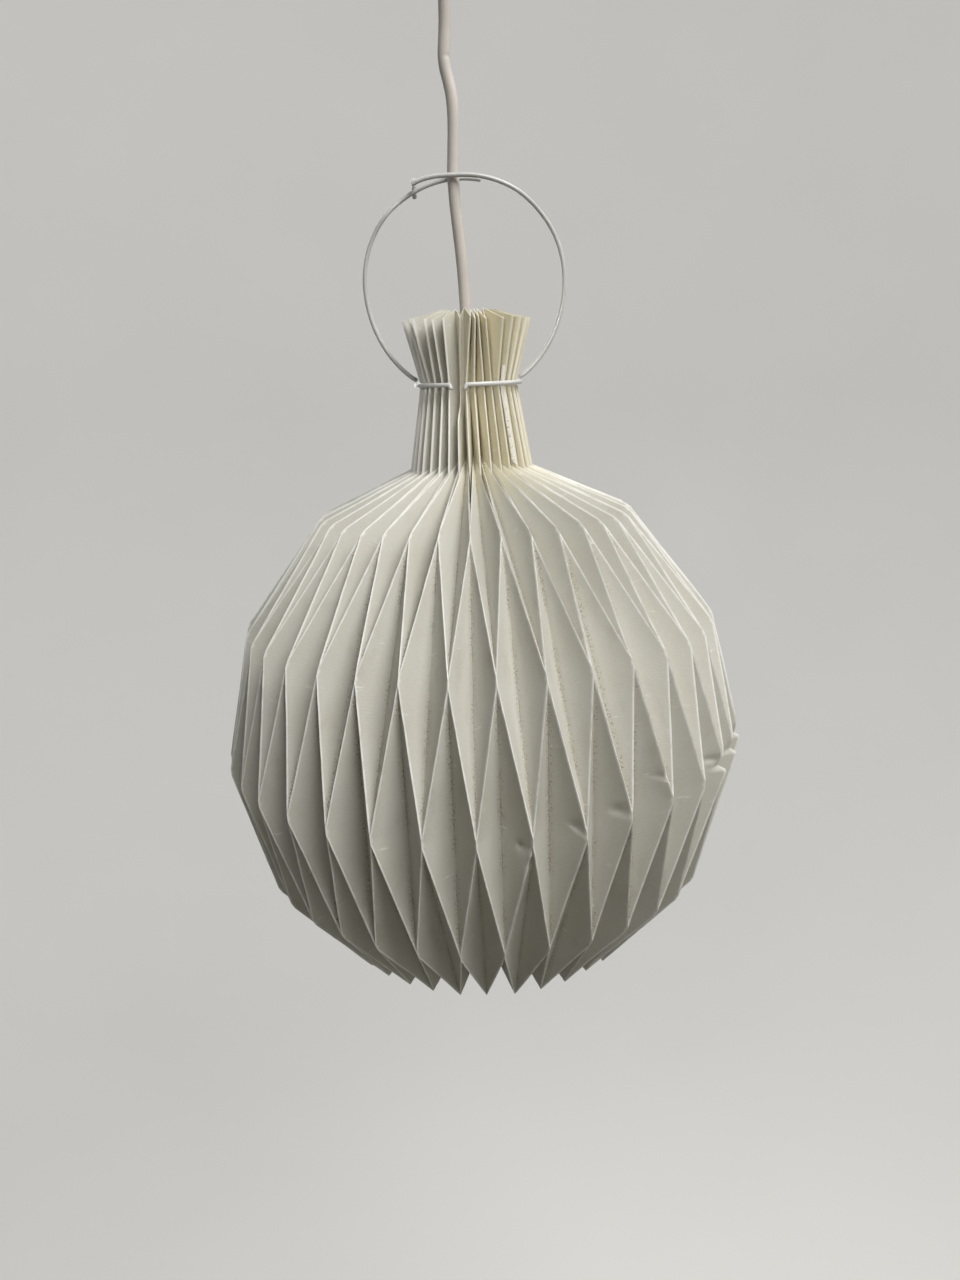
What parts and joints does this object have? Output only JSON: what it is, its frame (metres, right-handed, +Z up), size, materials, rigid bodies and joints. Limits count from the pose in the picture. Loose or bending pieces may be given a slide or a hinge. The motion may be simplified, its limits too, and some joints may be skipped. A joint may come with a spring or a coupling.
{
  "type": "pleated paper pendant lantern",
  "caption": "Cross-pleated paper lantern shade with a pinched neck, hung by a sprung wire hanger on a round flex, with lampholder, lamp and ceiling cup.",
  "frame": {"origin": "middle of the ceiling plate's top face, where the pendant is fixed to the ceiling", "axes": "+Z up into the ceiling, +X to the right and -Y towards the viewer of the picture"},
  "size_m": [0.2804, 0.2804, 0.5622],
  "materials": {
    "white_paper": "warm off-white uncoated paper, matt, lightly soiled along its folds",
    "tape_paper": "whiter glued paper strip, matt",
    "white_wire": "white plastic-dipped spring wire, satin",
    "white_flex": "white sheathed flex, smooth, slightly yellowed",
    "white_plastic": "moulded white plastic, satin gloss",
    "zinc_steel": "zinc-plated steel",
    "brass": "plain brass",
    "ceramic": "white glazed ceramic",
    "black_glass": "black insulator, glossy",
    "light_board": "white circuit board",
    "opal_globe": "opal diffuser, satin",
    "blue_core": "blue core insulation",
    "brown_core": "brown core insulation"
  },
  "bodies": {
    "suspension": {"ceiling_plate": "zinc_steel", "cord_clamp": "white_plastic", "clamp_screw_left": "zinc_steel", "clamp_screw_right": "zinc_steel", "terminal_block": "white_plastic", "terminal_screw_live": "brass", "terminal_screw_neutral": "brass", "core_live_ceiling": "brown_core", "core_neutral_ceiling": "blue_core", "cord": "white_flex", "cord_nut": "white_plastic", "holder_cap": "white_plastic", "holder_insert": "ceramic", "holder_terminal_live": "brass", "holder_terminal_neutral": "brass", "core_live_holder": "brown_core", "core_neutral_holder": "blue_core", "centre_contact": "brass", "thread_shell": "brass", "holder_skirt": "white_plastic"},
    "cup": {"ceiling_cup": "white_plastic", "cup_bush": "white_plastic", "cup_grub_screw": "zinc_steel"},
    "shade": {"shade_sheet": "white_paper", "seam_tape": "tape_paper", "collar_spring": "white_wire"},
    "right_arm": {"hanger_arm_right": "white_wire"},
    "left_arm": {"hanger_arm_left": "white_wire"},
    "lamp": {"lamp_contact": "brass", "lamp_insulator": "black_glass", "lamp_screw_cap": "brass", "lamp_housing": "white_plastic", "led_board": "light_board", "lamp_globe": "opal_globe"}
  },
  "joints": [
    {"name": "cup_slide", "type": "slide", "parent": "suspension", "child": "cup", "axis": [0, 0, -1], "range_m": [0, 0.03]},
    {"name": "shade_slide", "type": "slide", "parent": "suspension", "child": "shade", "axis": [0, 0, 1], "range_m": [0, 0.035]},
    {"name": "right_arm_flex", "type": "hinge", "parent": "shade", "child": "right_arm", "pos_m": [0.0325, 0, -0.2454], "axis": [0, 1, 0], "range_deg": [0, 6], "stiffness_Nm_per_rad": 0.2, "springref_deg": -5.73},
    {"name": "left_arm_flex", "type": "hinge", "parent": "shade", "child": "left_arm", "pos_m": [-0.0225, 0, -0.2454], "axis": [0, -1, 0], "range_deg": [0, 6], "stiffness_Nm_per_rad": 0.2, "springref_deg": -5.73},
    {"name": "lamp_turn", "type": "hinge", "parent": "suspension", "child": "lamp", "pos_m": [0.005, 0, -0.36], "axis": [0, 0, 1], "range_deg": [-1350, 0]}
  ],
  "couplings": [
    {"joint": "left_arm_flex", "follows": "right_arm_flex", "ratio": 1}
  ]
}
